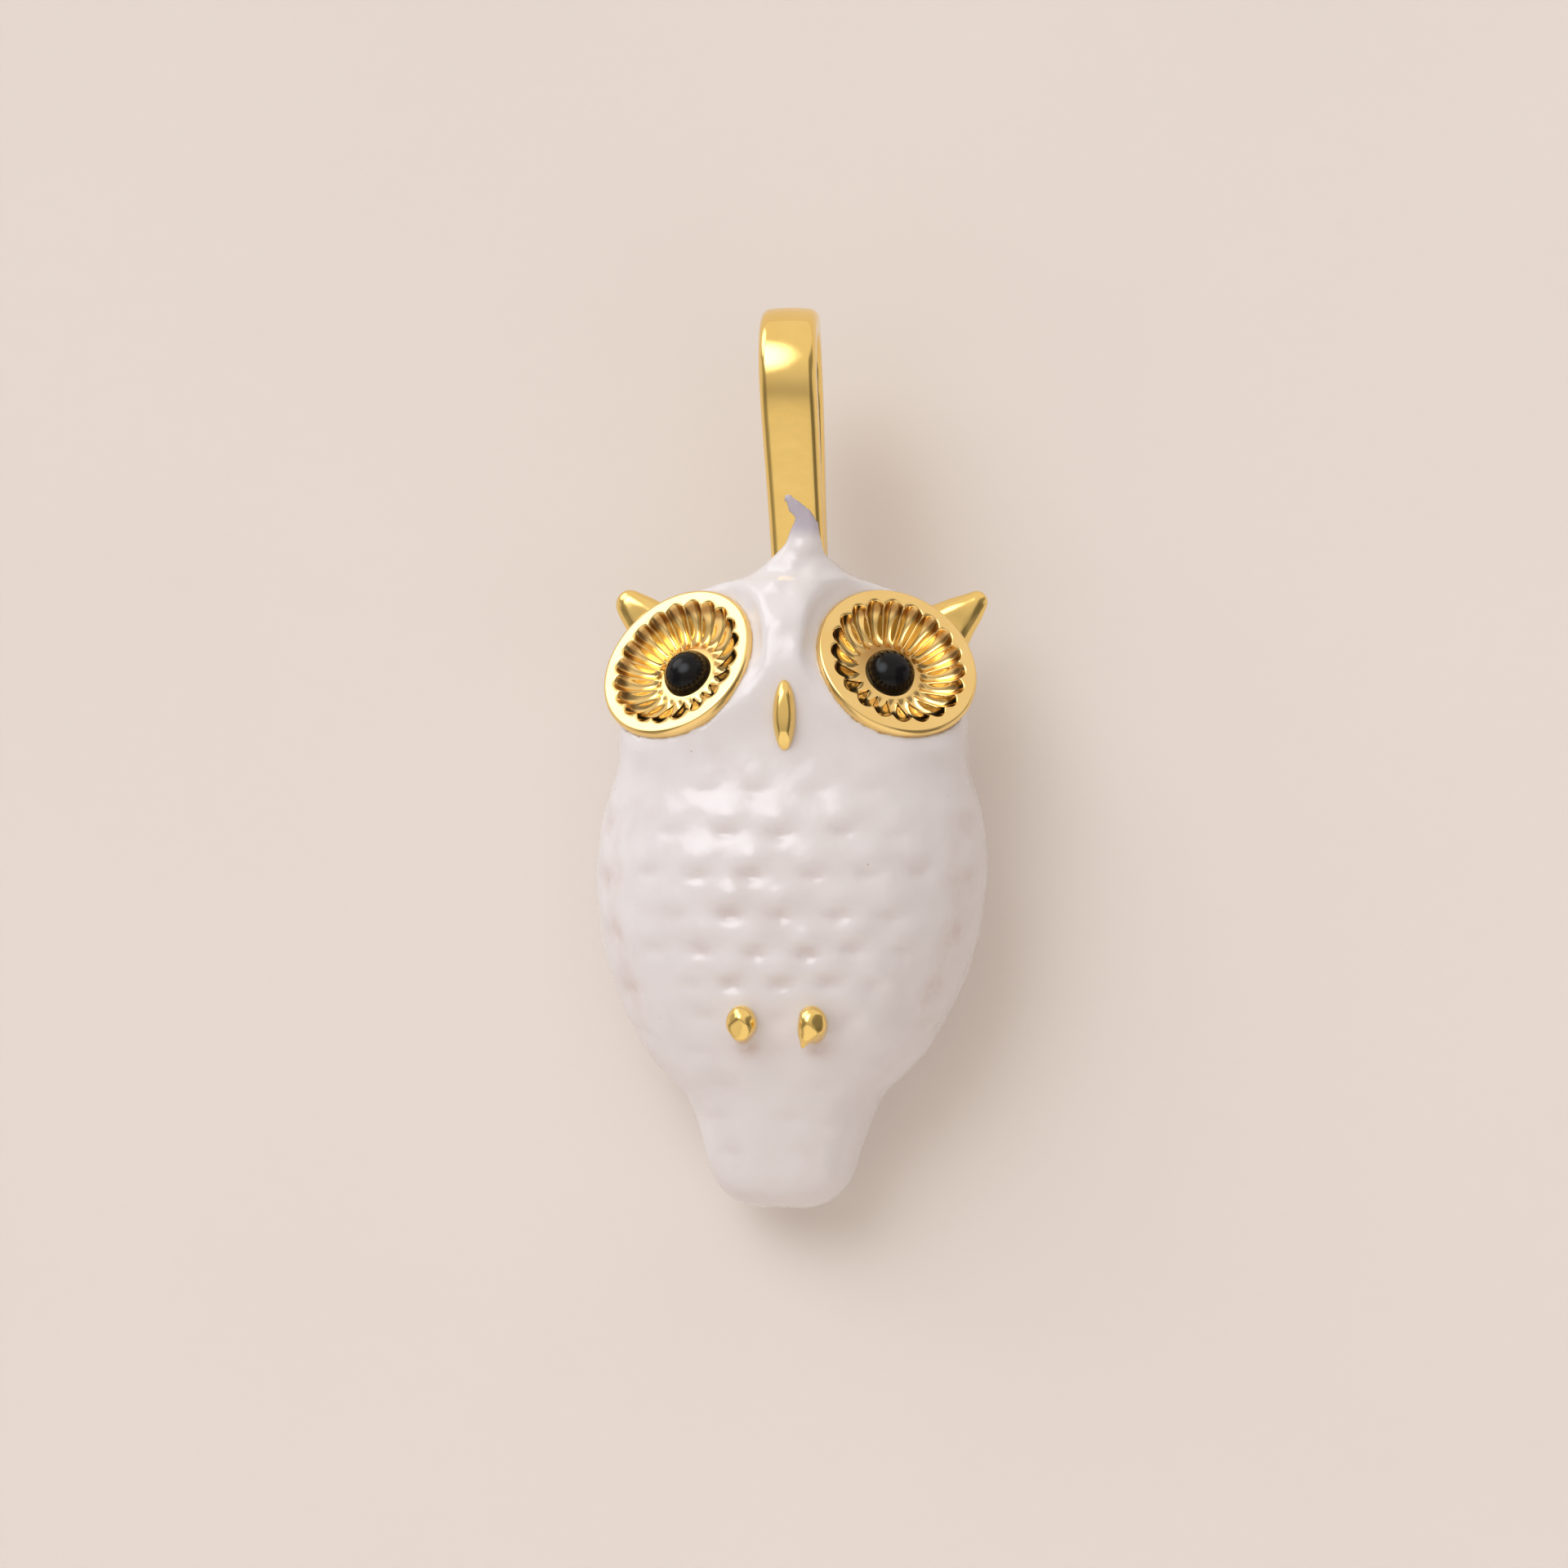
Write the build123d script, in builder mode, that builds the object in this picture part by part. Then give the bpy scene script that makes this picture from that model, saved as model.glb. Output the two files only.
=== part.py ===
from build123d import *
import os
from math import atan2, cos, degrees, radians, sin, tan

# Enamelled owl charm on a rigid bail. Millimetres.
# The origin is where a chain bears, inside the bail's top bend. +Z is up, the owl faces -Y,
# and left (-X) and right (+X) are those of someone facing the owl.

# Bail: a flat strap bent into a closed teardrop in the YZ plane, so a chain runs along X
HEIGHT = 30.0  # from the tail's end to the top of the bail
STRAP_THICKNESS = 0.9
STRAP_WIDTH = 1.9
STRAP_EDGE_RADIUS = 0.25
BAIL_INNER_RADIUS = 1.6
BAIL_FOOT_RADIUS = 0.95
BAIL_FOOT_DEPTH = 7.9  # from the origin down to the centre of the foot's bend
BAIL_LEAN = 2.2  # degrees, the foot towards +X
GAP_FOOT_RADIUS = 0.06  # where the strap's two legs meet

# Owl: cast core under one coat of enamel
TAIL_END = STRAP_THICKNESS - HEIGHT
ENAMEL_THICKNESS = 0.4
HEAD_TOP = -8.0
CROWN_BOTTOM = -8.7
CROWN_TOP = -7.2
SOLDER_BOTTOM = -8.6
SOLDER_TOP = -7.8
SOLDER_INSET = 0.2
CROWN_X = BAIL_FOOT_DEPTH * tan(radians(BAIL_LEAN))
CROWN_BASE_X = 2.2
CROWN_BASE_Y = 2.0
CROWN_TIP_X = 1.3
CROWN_TIP_Y = 1.35

# Cross-sections of the finished owl: height, half width, depth in front, depth behind
SECTIONS = [
    (TAIL_END, 1.5, 0.9, 0.8),
    (-28.3, 2.2, 1.3, 1.1),
    (-26.6, 2.75, 1.7, 1.4),
    (-25.2, 3.35, 2.2, 1.8),
    (-23.3, 4.95, 3.1, 2.5),
    (-20.5, 6.15, 3.7, 3.1),
    (-17.5, 6.4, 3.8, 3.3),
    (-14.6, 5.85, 3.5, 3.1),
    (-12.2, 5.7, 3.3, 3.0),
    (-10.0, 4.8, 3.0, 2.8),
    (-8.6, 3.3, 2.2, 2.2),
    (HEAD_TOP, 2.0, 1.5, 1.5),
]

# Eye cups: fluted dishes that look outward and up
CUP_RADIUS = 2.8
CUP_EDGE = 0.5  # height of the rim's outer wall
RIM_WIDTH = 0.45
CUP_DEPTH = 1.6
CUP_BACK_RADIUS = 1.3
FLOOR_RADIUS = 1.05
FLOOR_DEPTH = 1.0
FLUTES = 20
FLUTE_RIM_RADIUS = 0.3
FLUTE_FLOOR_RADIUS = 0.12
FLUTE_LENGTH = 1.9
EYE_X = 3.7
EYE_Y = -1.8
EYE_Z = -10.88
EYE_YAW = 28.0
EYE_PITCH = 30.0
CUP_SOLDER_THICKNESS = 0.1
HEAD_CLEARANCE = 3.0  # the head is cut back this far in front of the rims

# Pupils: domed beads glued into a seat in each cup's floor
PUPIL_RADIUS = 0.85
PUPIL_SEAT_DEPTH = 1.15
PUPIL_EQUATOR_DEPTH = 0.9
GLUE_THICKNESS = 0.05

# Bare metal that stands out of the enamel: ears, beak and claws. The ears are tapered and
# round at the tip.
EAR_TIP_X = 5.75
EAR_TIP_Z = -8.93
EAR_TIP_RADIUS = 0.5
EAR_ROOT_X = 3.9
EAR_ROOT_Z = -10.75
EAR_ROOT_RADIUS = 1.2
EAR_Y = 1.3
EAR_THICKNESS = 0.9
BEAK_HALF_WIDTH = 0.38
BEAK_TOP = -11.55
BEAK_BOTTOM = -13.85
BEAK_FRONT = -3.9
BEAK_CHAMFER = 0.2
CLAW_X = 1.15
CLAW_Z = -22.88
CLAW_HALF_WIDTH = 0.55
CLAW_HALF_HEIGHT = 0.66
CLAW_FRONT = -4.0
CLAW_CHAMFER = 0.25
ROOT_Y = -2.0  # the beak and the claws start this far inside the core
SIDES = {"left": -1, "right": 1}


def owl_form(inset):
    """The owl's rounded form from tail to head, drawn in all round by the inset."""
    with BuildPart() as form:
        for height, half_width, front, back in SECTIONS:
            level = min(max(height, TAIL_END + inset), HEAD_TOP - inset)
            with BuildSketch(Plane(origin=(0, (back - front) / 2, level))):
                Ellipse(half_width - inset, (front + back) / 2 - inset)
        loft()
    return form.part


def crown_form(inset, bottom, top):
    """The short collar that rises from the head round the bail's foot."""
    with BuildPart() as form:
        with BuildSketch(Plane(origin=(CROWN_X, 0, bottom))):
            Ellipse(CROWN_BASE_X - inset, CROWN_BASE_Y - inset)
        with BuildSketch(Plane(origin=(CROWN_X, 0, top))):
            Ellipse(CROWN_TIP_X - inset, CROWN_TIP_Y - inset)
        loft()
    return form.part


def eye_plane(side):
    """The rim plane of one eye cup, its normal along the cup's axis."""
    yaw = radians(EYE_YAW)
    pitch = radians(EYE_PITCH)
    normal = (side * sin(yaw) * cos(pitch), -cos(yaw) * cos(pitch), sin(pitch))
    return Plane(
        origin=(side * EYE_X, EYE_Y, EYE_Z),
        x_dir=(cos(yaw), side * sin(yaw), 0),
        z_dir=normal,
    )


def cup_envelope():
    """The outside of an eye cup with the solder behind it, in the rim's own plane."""
    with BuildPart() as envelope:
        with Locations((0, 0, -CUP_EDGE / 2)):
            Cylinder(CUP_RADIUS, CUP_EDGE)
        with Locations((0, 0, -(CUP_EDGE + CUP_DEPTH) / 2)):
            Cone(CUP_BACK_RADIUS, CUP_RADIUS, CUP_DEPTH - CUP_EDGE)
        with Locations((0, 0, -CUP_DEPTH - CUP_SOLDER_THICKNESS / 2)):
            Cylinder(CUP_BACK_RADIUS, CUP_SOLDER_THICKNESS)
    return envelope.part


def cup_pocket():
    """The room that one eye cup takes from the head, open in front of its rim."""
    with BuildPart() as pocket:
        add(cup_envelope())
        with Locations((0, 0, HEAD_CLEARANCE / 2)):
            Cylinder(CUP_RADIUS, HEAD_CLEARANCE)
    return pocket.part


bail_plane = Plane(
    origin=(0, 0, 0),
    x_dir=(0, 1, 0),
    z_dir=(cos(radians(BAIL_LEAN)), 0, sin(radians(BAIL_LEAN))),
)

with BuildPart() as bail:
    with BuildSketch(bail_plane):
        with Locations((0, -BAIL_INNER_RADIUS)):
            Circle(BAIL_INNER_RADIUS + STRAP_THICKNESS)
        with Locations((0, -BAIL_FOOT_DEPTH)):
            Circle(BAIL_FOOT_RADIUS)
        make_hull()
    extrude(amount=STRAP_WIDTH / 2, both=True)
    with BuildSketch(bail_plane):
        with Locations((0, -BAIL_INNER_RADIUS)):
            Circle(BAIL_INNER_RADIUS)
        with Locations((0, -BAIL_FOOT_DEPTH)):
            Circle(GAP_FOOT_RADIUS)
        make_hull()
    extrude(amount=STRAP_WIDTH, both=True, mode=Mode.SUBTRACT)
    fillet(bail.faces().filter_by(bail_plane).edges(), STRAP_EDGE_RADIUS)
bail.part.label = "bail"

with BuildPart() as body_casting:
    add(owl_form(ENAMEL_THICKNESS))
    for side in SIDES.values():
        with BuildSketch(Plane.XZ.offset(-EAR_Y)):
            with Locations((side * EAR_TIP_X, EAR_TIP_Z)):
                Circle(EAR_TIP_RADIUS)
            with Locations((side * EAR_ROOT_X, EAR_ROOT_Z)):
                Circle(EAR_ROOT_RADIUS)
            make_hull()
        extrude(amount=EAR_THICKNESS / 2, both=True)
    with BuildSketch(Plane.XZ.offset(-ROOT_Y)):
        with BuildLine():
            ThreePointArc(
                (0, BEAK_BOTTOM), (BEAK_HALF_WIDTH, (BEAK_TOP + BEAK_BOTTOM) / 2), (0, BEAK_TOP)
            )
            mirror(about=Plane.YZ)
        make_face()
    extrude(amount=ROOT_Y - BEAK_FRONT)
    chamfer(body_casting.faces().sort_by(Axis.Y)[0].edges(), BEAK_CHAMFER)
    with BuildSketch(Plane.XZ.offset(-ROOT_Y)):
        with Locations((-CLAW_X, CLAW_Z), (CLAW_X, CLAW_Z)):
            Ellipse(CLAW_HALF_WIDTH, CLAW_HALF_HEIGHT)
    extrude(amount=ROOT_Y - CLAW_FRONT)
    chamfer(body_casting.faces().sort_by(Axis.Y)[0:2].edges(), CLAW_CHAMFER)
    add(bail.part, mode=Mode.SUBTRACT)
    with Locations([eye_plane(side) for side in SIDES.values()]):
        add(cup_pocket(), mode=Mode.SUBTRACT)
body_casting.part.label = "body_casting"

with BuildPart() as bail_solder:
    add(crown_form(SOLDER_INSET, SOLDER_BOTTOM, SOLDER_TOP))
    add(bail.part, mode=Mode.SUBTRACT)
    add(body_casting.part, mode=Mode.SUBTRACT)
bail_solder.part.label = "bail_solder"

with BuildPart() as enamel_coat:
    add(owl_form(0))
    add(crown_form(0, CROWN_BOTTOM, CROWN_TOP))
    add(body_casting.part, mode=Mode.SUBTRACT)
    add(bail.part, mode=Mode.SUBTRACT)
    add(bail_solder.part, mode=Mode.SUBTRACT)
    with Locations([eye_plane(side) for side in SIDES.values()]):
        add(cup_pocket(), mode=Mode.SUBTRACT)
enamel_coat.part.label = "enamel_coat"

os.makedirs("parts", exist_ok=True)
for piece in (bail, body_casting, bail_solder, enamel_coat):
    export_step(piece.part, f"parts/{piece.part.label}.step")

flute_slope = degrees(atan2(FLOOR_DEPTH, CUP_RADIUS - RIM_WIDTH - FLOOR_RADIUS))
for name, side in SIDES.items():
    plane = eye_plane(side)

    with BuildPart(plane) as eye_cup:
        add(cup_envelope())
        with Locations((0, 0, -CUP_DEPTH - CUP_SOLDER_THICKNESS / 2)):
            Cylinder(CUP_RADIUS, CUP_SOLDER_THICKNESS, mode=Mode.SUBTRACT)
        with Locations((0, 0, -FLOOR_DEPTH / 2)):
            Cone(FLOOR_RADIUS, CUP_RADIUS - RIM_WIDTH, FLOOR_DEPTH, mode=Mode.SUBTRACT)
        with PolarLocations((CUP_RADIUS - RIM_WIDTH + FLOOR_RADIUS) / 2, FLUTES):
            with Locations((0, 0, -FLOOR_DEPTH / 2)):
                Cone(
                    FLUTE_FLOOR_RADIUS,
                    FLUTE_RIM_RADIUS,
                    FLUTE_LENGTH,
                    rotation=(0, 90 - flute_slope, 0),
                    mode=Mode.SUBTRACT,
                )
        with Locations((0, 0, -PUPIL_SEAT_DEPTH / 2)):
            Cylinder(PUPIL_RADIUS, PUPIL_SEAT_DEPTH, mode=Mode.SUBTRACT)
    eye_cup.part.label = f"eye_cup_{name}"

    with BuildPart(plane) as cup_solder:
        with Locations((0, 0, -CUP_DEPTH - CUP_SOLDER_THICKNESS / 2)):
            Cylinder(CUP_BACK_RADIUS, CUP_SOLDER_THICKNESS)
    cup_solder.part.label = f"cup_solder_{name}"

    with BuildPart(plane) as pupil:
        with Locations((0, 0, -PUPIL_EQUATOR_DEPTH)):
            Sphere(PUPIL_RADIUS)
        with Locations((0, 0, -PUPIL_SEAT_DEPTH + GLUE_THICKNESS - PUPIL_RADIUS / 2)):
            Cylinder(PUPIL_RADIUS, PUPIL_RADIUS, mode=Mode.SUBTRACT)
    pupil.part.label = f"pupil_{name}"

    with BuildPart(plane) as pupil_glue:
        with Locations((0, 0, -PUPIL_SEAT_DEPTH + GLUE_THICKNESS / 2)):
            Cylinder(PUPIL_RADIUS, GLUE_THICKNESS)
    pupil_glue.part.label = f"pupil_glue_{name}"

    for piece in (eye_cup, cup_solder, pupil, pupil_glue):
        export_step(piece.part, f"parts/{piece.part.label}.step")
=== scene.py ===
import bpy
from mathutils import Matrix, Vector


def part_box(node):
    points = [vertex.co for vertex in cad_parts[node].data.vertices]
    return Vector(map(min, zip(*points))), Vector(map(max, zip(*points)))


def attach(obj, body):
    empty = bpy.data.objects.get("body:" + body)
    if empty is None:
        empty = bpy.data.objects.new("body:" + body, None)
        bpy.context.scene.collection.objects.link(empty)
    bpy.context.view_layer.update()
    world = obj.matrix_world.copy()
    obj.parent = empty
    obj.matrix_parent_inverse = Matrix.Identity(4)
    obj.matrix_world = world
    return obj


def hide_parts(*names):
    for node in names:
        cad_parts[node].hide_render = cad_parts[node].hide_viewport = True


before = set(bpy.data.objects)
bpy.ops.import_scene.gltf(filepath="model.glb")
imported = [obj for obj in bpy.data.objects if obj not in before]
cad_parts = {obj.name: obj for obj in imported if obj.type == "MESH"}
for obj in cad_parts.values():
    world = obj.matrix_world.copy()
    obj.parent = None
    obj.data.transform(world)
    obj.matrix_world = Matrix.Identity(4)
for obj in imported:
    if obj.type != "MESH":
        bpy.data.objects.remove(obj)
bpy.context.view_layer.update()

import math

import bpy
import numpy as np

# An enamelled owl charm on a rigid bail. All shapes are worked out in millimetres in the
# frame's own axes (+Z up, the owl faces -Y) and turned into metres as each mesh is made.
MM = 0.001


def box_mm(node):
    """Lowest and highest corner of a CAD node, in millimetres."""
    low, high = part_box(node)
    return np.array(low) / MM, np.array(high) / MM


# ------------------------------------------------------------------ places from the frame
coat_low, coat_high = box_mm("enamel_coat")
bail_low, bail_high = box_mm("bail")
cup_low, cup_high = box_mm("eye_cup_right")

TAIL_END = coat_low[2]
BAIL_TOP = bail_high[2]
BAIL_DEPTH = (bail_high[1] - bail_low[1]) / 2

# The eye dishes and their beads; heights in them are from the plane of the rim
CUP_RADIUS = 2.8
CUP_YAW = math.radians(28)  # how far a dish faces outwards
CUP_PITCH = math.radians(30)  # and upwards
CUP_EDGE = 0.5  # height of the straight outer wall
CUP_DEPTH = 1.6
CUP_BACK_RADIUS = 1.3
BOWL_RADIUS = 2.31  # to the middle of the scalloped edge
BOWL_DEPTH = 1.0
BOWL_WALL = 0.14  # steep wall at the flutes' outer ends
FLUTES = 20
FLUTE_DEPTH = 0.23
SCALLOP = 0.2  # how far the bowl's edge swings in and out
BEAD_GRIP = 0.16  # the bowl's floor rises this much to grip the bead
BEAD_GRIP_WIDTH = 0.3
PUPIL_RADIUS = 0.85
PUPIL_SINK = 0.9  # depth of the bead's centre


def cup_frame(side):
    """Centre of a cup's rim, and its axes: across, up the rim, and out along the normal."""
    normal = np.array([
        side * math.sin(CUP_YAW) * math.cos(CUP_PITCH),
        -math.cos(CUP_YAW) * math.cos(CUP_PITCH),
        math.sin(CUP_PITCH),
    ])
    across = np.array([math.cos(CUP_YAW), side * math.sin(CUP_YAW), 0.0])
    up = np.cross(normal, across)
    reach = CUP_RADIUS * np.sqrt(1 - normal**2)
    centre = np.array([
        side * (cup_high[0] - reach[0]),
        cup_low[1] + reach[1],
        cup_high[2] - reach[2],
    ])
    return centre, across, up, normal


SIDES = {"left": -1, "right": 1}
CUPS = {name: cup_frame(side) for name, side in SIDES.items()}


# ------------------------------------------------------------------ field tools
def smooth_min(a, b, k):
    """The lower of two fields, blended over a width k: joins two forms with a fillet."""
    h = np.clip(0.5 + 0.5 * (b - a) / k, 0, 1)
    return b + (a - b) * h - k * h * (1 - h)


def smooth_max(a, b, k):
    """The higher of two fields, blended: cuts one form by another with a round edge."""
    return -smooth_min(-a, -b, k)


def step(low, high, x):
    """0 below low, 1 above high, smooth in between."""
    t = np.clip((x - low) / (high - low), 0, 1)
    return t * t * (3 - 2 * t)


def spline(x, knots, values):
    """A smooth curve through the values at the rising knots."""
    knots = np.asarray(knots, float)
    values = np.asarray(values, float)
    slopes = np.gradient(values, knots)
    i = np.clip(np.searchsorted(knots, x) - 1, 0, len(knots) - 2)
    width = knots[i + 1] - knots[i]
    t = np.clip((x - knots[i]) / width, 0, 1)
    lift = values[i + 1] - values[i]
    cubic = t * t * (3 - 2 * t)
    start = slopes[i] * width * t * (1 - t) ** 2
    end = slopes[i + 1] * width * t * t * (t - 1)
    return values[i] + lift * cubic + start + end


def bump(distance_squared):
    """A soft hill: 1 in its middle, falling away all round."""
    return np.exp(-distance_squared)


def round_cone(p, a, b, radius_a, radius_b, flatten=(1, 1, 1)):
    """The hull of a ball at a and a ball at b, squeezed along the axes by flatten."""
    scale = 1 / np.asarray(flatten, float)
    q = (p - np.asarray(a, float)) * scale
    line = (np.asarray(b, float) - a) * scale
    length = np.linalg.norm(line)
    taper = (radius_b - radius_a) / length
    along = q @ line / length
    off = np.sqrt(np.maximum((q * q).sum(axis=1) - along**2, 0))
    t = np.clip((along + off * taper / math.sqrt(1 - taper**2)) / length, 0, 1)
    away = np.linalg.norm(q - t[:, None] * line, axis=1)
    return (away - (radius_a + (radius_b - radius_a) * t)) * min(flatten)


def plane(p, through, normal):
    """Distance in front of a plane; its normal needn't have length 1."""
    normal = np.asarray(normal, float)
    normal = normal / np.linalg.norm(normal)
    return (p - np.asarray(through, float)) @ normal


def surface(field, low, high, cell):
    """Vertices and quads of the surface where the field is zero, inside the box low to high."""
    axes = [np.arange(a, b + cell, cell) for a, b in zip(low, high)]
    grid = np.stack(np.meshgrid(*axes, indexing="ij"), axis=-1)
    value = field(grid.reshape(-1, 3)).reshape(grid.shape[:3])
    cells = np.array(value.shape) - 1
    total = np.zeros((*cells, 3))
    count = np.zeros(cells)

    def corner(offset):
        return value[tuple(slice(o, n + o) for o, n in zip(offset, cells))]

    for axis in range(3):
        others = [k for k in range(3) if k != axis]
        for first in (0, 1):
            for second in (0, 1):
                start = np.zeros(3, int)
                start[others[0]] = first
                start[others[1]] = second
                end = start.copy()
                end[axis] = 1
                v0 = corner(start)
                v1 = corner(end)
                crossed = (v0 < 0) != (v1 < 0)
                t = np.where(crossed, v0 / np.where(crossed, v0 - v1, 1), 0)
                for k in range(3):
                    total[..., k] += np.where(crossed, start[k] + (t if k == axis else 0), 0)
                count += crossed
    active = count > 0
    index = np.full(cells, -1)
    index[active] = np.arange(active.sum())
    where = np.argwhere(active)
    vertices = (where + total[active] / count[active][:, None]) * cell + np.array(low)

    quads = []
    for a in range(3):
        b, c = (a + 1) % 3, (a + 2) % 3
        unit = np.eye(3, dtype=int)
        first = value[tuple(slice(0, -1) if k == a else slice(1, -1) for k in range(3))]
        second = value[tuple(slice(1, None) if k == a else slice(1, -1) for k in range(3))]
        crossed = np.argwhere((first < 0) != (second < 0))
        rising = (first < 0)[tuple(crossed.T)]
        at = crossed + unit[b] + unit[c]
        around = [at, at - unit[b], at - unit[b] - unit[c], at - unit[c]]
        quad = np.stack([index[tuple(q.T)] for q in around], axis=1)
        quads.append(np.where(rising[:, None], quad, quad[:, ::-1]))
    quads = np.concatenate(quads)

    nudge = 0.02  # half the distance between the points that a slope is taken from
    for _ in range(3):  # pull each vertex on to the surface itself, a part of a cell at a time
        value = field(vertices)
        slope = np.stack([
            field(vertices + nudge * axis) - field(vertices - nudge * axis)
            for axis in np.eye(3)
        ], axis=1) / (2 * nudge)
        move = -(value / np.maximum((slope**2).sum(axis=1), 0.2))[:, None] * slope
        length = np.linalg.norm(move, axis=1, keepdims=True)
        vertices = vertices + move * np.minimum(1, 0.4 * cell / np.maximum(length, 1e-9))
    return vertices, quads


def make_object(name, vertices, faces):
    """A smooth mesh object from vertices in mm and faces."""
    mesh = bpy.data.meshes.new(name)
    mesh.from_pydata((np.asarray(vertices) * MM).tolist(), [], faces)
    mesh.polygons.foreach_set("use_smooth", [True] * len(mesh.polygons))
    mesh.update()
    obj = bpy.data.objects.new(name, mesh)
    bpy.context.scene.collection.objects.link(obj)
    return obj


def joined(islands):
    """Vertices and faces of several islands as one mesh."""
    vertices = np.concatenate([v for v, _ in islands])
    faces = []
    start = 0
    for v, f in islands:
        faces += (f + start).tolist()
        start += len(v)
    return vertices, faces


def neighbours(count):
    """Indices round a ring, and each one's next."""
    here = np.arange(count)
    return here, (here + 1) % count


def ring_bands(rings, wrap=False):
    """Quads between closed rings of equal size; with wrap, the last ring meets the first."""
    count = rings.shape[1]
    here, there = neighbours(count)
    faces = []
    for r in range(len(rings) if wrap else len(rings) - 1):
        low = r * count
        high = (r + 1) % len(rings) * count
        faces.append(np.stack([low + here, low + there, high + there, high + here], axis=1))
    return np.concatenate(faces).tolist()


def capped_rings(rings):
    """Vertices and faces over closed rings, with a fan at each end."""
    count = rings.shape[1]
    here, there = neighbours(count)
    ends = [rings[0].mean(axis=0), rings[-1].mean(axis=0)]
    vertices = np.concatenate([rings.reshape(-1, 3), ends])
    total = rings.shape[0] * count
    last = total - count
    first_fan = np.stack([there, here, np.full(count, total)], axis=1)
    last_fan = np.stack([last + here, last + there, np.full(count, total + 1)], axis=1)
    return vertices, ring_bands(rings) + first_fan.tolist() + last_fan.tolist()


# ------------------------------------------------------------------ the owl's form
# Height, half width, depth in front, depth behind, squareness of the cross-section
PROFILE = np.array([
    (TAIL_END, 1.95, 1.15, 0.95, 2.4),
    (-28.1, 2.32, 1.52, 1.15, 2.4),
    (-26.9, 2.70, 1.98, 1.40, 2.35),
    (-25.9, 3.04, 2.36, 1.65, 2.3),
    (-25.3, 3.34, 2.58, 1.85, 2.3),
    (-24.7, 3.92, 2.82, 2.10, 2.25),
    (-24.0, 4.58, 3.08, 2.40, 2.2),
    (-22.6, 5.32, 3.55, 2.80, 2.2),
    (-20.4, 6.12, 3.98, 3.15, 2.2),
    (-18.8, 6.38, 4.08, 3.30, 2.2),
    (-17.3, 6.42, 4.02, 3.35, 2.2),
    (-15.9, 6.20, 3.80, 3.30, 2.3),
    (-14.6, 5.85, 3.48, 3.15, 2.7),
    (-13.6, 5.78, 3.38, 3.05, 3.3),
    (-12.4, 5.75, 3.45, 3.00, 3.3),
    (-11.0, 5.60, 3.50, 2.95, 3.0),
])
HEAD_LEVEL = -12.0  # above this the form closes to the top of the head
HEAD_HEIGHT = 3.95
HEAD_ROUNDNESS = 2.5
SWAY = ((TAIL_END, -17.0, -8.0), (-0.32, 0.0, 0.15))
CORE_INSET = 0.4


def middle(z):
    """How far the owl's centre line stands off the frame's own plane X = 0."""
    return spline(z, *SWAY)


def trunk(p, inset=0.0):
    """The plain owl, tail to head."""
    x = p[:, 0] - middle(p[:, 2])
    y = p[:, 1]
    z = p[:, 2]
    levels = PROFILE[:, 0]
    half = spline(z, levels, PROFILE[:, 1]) - inset
    front = spline(z, levels, PROFILE[:, 2]) - inset
    back = spline(z, levels, PROFILE[:, 3]) - inset
    power = spline(z, levels, PROFILE[:, 4])
    depth = np.where(y < 0, front, back)
    u = np.abs(x) / half
    v = np.abs(y) / depth
    w = np.maximum(z - HEAD_LEVEL, 0) / (HEAD_HEIGHT - inset)
    ring = (u**power + v**power) ** (1 / power)
    r = (ring**HEAD_ROUNDNESS + w**HEAD_ROUNDNESS) ** (1 / HEAD_ROUNDNESS)
    spread = np.sqrt((u / half) ** 2 + (v / depth) ** 2 + (w / HEAD_HEIGHT) ** 2)
    side = r * (r - 1) / np.maximum(spread, 0.02)
    return smooth_max(side, TAIL_END + inset - z, 1.3)


BAIL_LEAN = math.radians(2.2)
STRAP_THICKNESS = BAIL_TOP
STRAP_WIDTH = 1.9
FOOT_DEPTH = 7.9
FOOT_RADIUS = 0.5  # of the strap's middle line, where it turns at the foot
BEND_RADIUS = BAIL_DEPTH - STRAP_THICKNESS / 2
BEND_HEIGHT = BAIL_TOP - STRAP_THICKNESS / 2 - BEND_RADIUS
LEG_ANGLE = math.asin((BEND_RADIUS - FOOT_RADIUS) / (FOOT_DEPTH + BEND_HEIGHT))


def bail_middle(z):
    """X of the leaning bail's middle line."""
    return -z * math.tan(BAIL_LEAN)


def strap_front(z):
    """Y of the front leg's outer face."""
    foot = (FOOT_RADIUS + STRAP_THICKNESS / 2) / math.cos(LEG_ANGLE)
    return -(foot + (z + FOOT_DEPTH) * math.tan(LEG_ANGLE))


# The enamel round the bail's foot, and the part that rises to a point in front of the strap:
# height, half width, how far it stands proud
CROWN_TOP = -7.6
CROWN_FOOT = -9.0
SPIRE_TOP = -6.3
SPIRE_FOOT = -9.2
SPIRE = np.array([
    (-9.4, 1.25, 0.30),
    (-8.6, 1.25, 0.42),
    (-8.0, 1.18, 0.46),
    (-7.6, 1.02, 0.44),
    (-7.3, 0.80, 0.38),
    (-7.0, 0.60, 0.30),
    (-6.7, 0.44, 0.22),
    (-6.4, 0.32, 0.15),
])


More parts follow.
